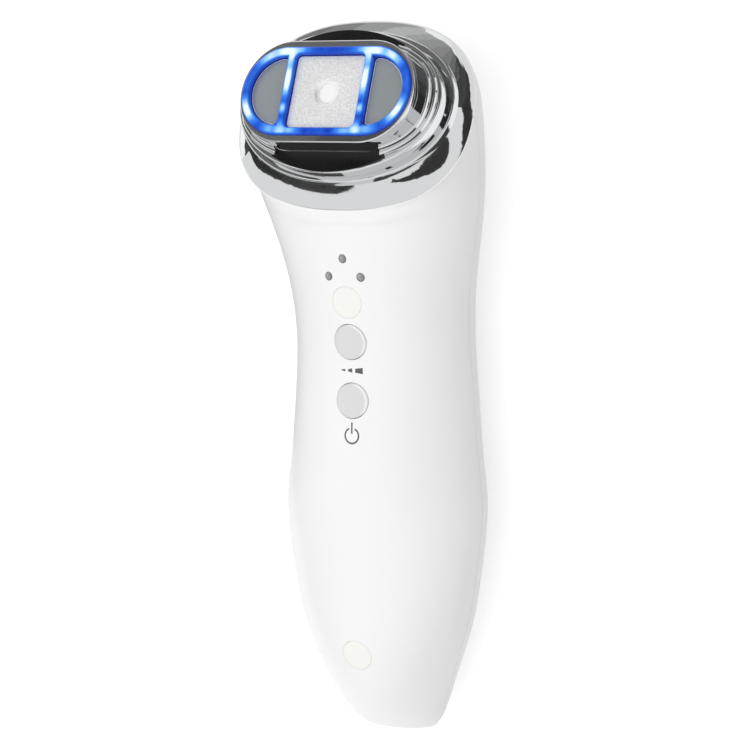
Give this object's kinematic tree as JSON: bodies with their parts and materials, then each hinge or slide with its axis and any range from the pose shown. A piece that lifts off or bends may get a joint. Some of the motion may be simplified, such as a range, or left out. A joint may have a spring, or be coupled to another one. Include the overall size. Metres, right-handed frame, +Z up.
{
  "type": "ultrasonic facial device",
  "caption": "Hand-held ultrasonic facial device with a blue-lit transducer face in a chromed collar, skin electrodes, buttons and a charging inlet.",
  "frame": {"origin": "centre of the bounding box's base, under the back on which the device lies", "axes": "+X across, +Y along the handle towards the head, +Z up out of the button side"},
  "size_m": [0.0672, 0.185, 0.052],
  "materials": {
    "white_shell": "moulded, polished gloss",
    "chrome_collar": "bright chrome plate on moulded plastic",
    "dark_inlay": "moulded, near black, glossy",
    "light_guide": "diffusing clear moulding, lit blue from behind",
    "speckled_steel": "fine blasted satin",
    "polished_steel": "polished",
    "electrode_steel": "satin",
    "piezo": "fired, silvered faces",
    "pin_brass": "plated",
    "carrier_plastic": "moulded, fine texture",
    "board_green": "solder mask",
    "led_package": "moulded lens",
    "screw_steel": "zinc plated",
    "ribbon_film": "laminated film",
    "button_grey": "moulded, satin",
    "plug_cream": "moulded, satin",
    "mark_ink": "printed",
    "switch_black": "moulded",
    "light_pipe": "clear moulding, smoke grey when unlit",
    "cell_wrap": "shrink film on a metal can",
    "frame_plastic": "moulded",
    "chip_black": "moulded",
    "ferrite": "sintered",
    "inlet_black": "moulded",
    "lead_cover": "extruded"
  },
  "bodies": {
    "housing": {"front_shell": "white_shell", "rear_shell": "white_shell", "head_collar": "chrome_collar", "upper_inlay": "dark_inlay", "lower_inlay": "dark_inlay", "light_guide": "light_guide", "transducer_plate": "speckled_steel", "emitter_disc": "polished_steel", "piezo_disc": "piezo", "left_electrode": "electrode_steel", "right_electrode": "electrode_steel", "left_electrode_pin": "pin_brass", "right_electrode_pin": "pin_brass", "head_carrier": "carrier_plastic", "led_board": "board_green", "head_ribbon": "ribbon_film", "level_switch": "switch_black", "power_switch": "switch_black", "light_pipe": "light_pipe", "level_mark": "mark_ink", "power_mark": "mark_ink", "upper_plug": "plug_cream", "lower_plug": "plug_cream", "upper_case_screw": "screw_steel", "lower_case_screw": "screw_steel", "battery_cell": "cell_wrap", "negative_tab": "screw_steel", "positive_tab": "screw_steel", "inner_frame": "frame_plastic", "main_board": "board_green", "board_screw_1": "screw_steel", "board_screw_2": "screw_steel", "controller_chip": "chip_black", "drive_transformer": "ferrite", "drive_coil": "ferrite", "charge_jack": "inlet_black", "charge_pin": "pin_brass", "charge_board": "board_green", "charge_lead_1": "lead_cover", "charge_lead_2": "lead_cover", "head_led_1": "led_package", "head_led_2": "led_package", "head_led_3": "led_package", "head_led_4": "led_package", "head_led_5": "led_package", "head_led_6": "led_package", "head_led_7": "led_package", "head_led_8": "led_package", "head_screw_1": "screw_steel", "head_screw_2": "screw_steel", "head_screw_3": "screw_steel", "head_screw_4": "screw_steel", "indicator_light_1": "led_package", "indicator_light_2": "led_package", "indicator_light_3": "led_package"},
    "level_button_body": {"level_button": "button_grey", "level_plunger": "switch_black"},
    "power_button_body": {"power_button": "button_grey", "power_plunger": "switch_black"}
  },
  "joints": [
    {"name": "level_press", "type": "slide", "parent": "housing", "child": "level_button_body", "axis": [0, 0, -1], "range_m": [0, 0.0004], "stiffness_N_per_m": 3500},
    {"name": "power_press", "type": "slide", "parent": "housing", "child": "power_button_body", "axis": [0, 0, -1], "range_m": [0, 0.0004], "stiffness_N_per_m": 3500}
  ]
}
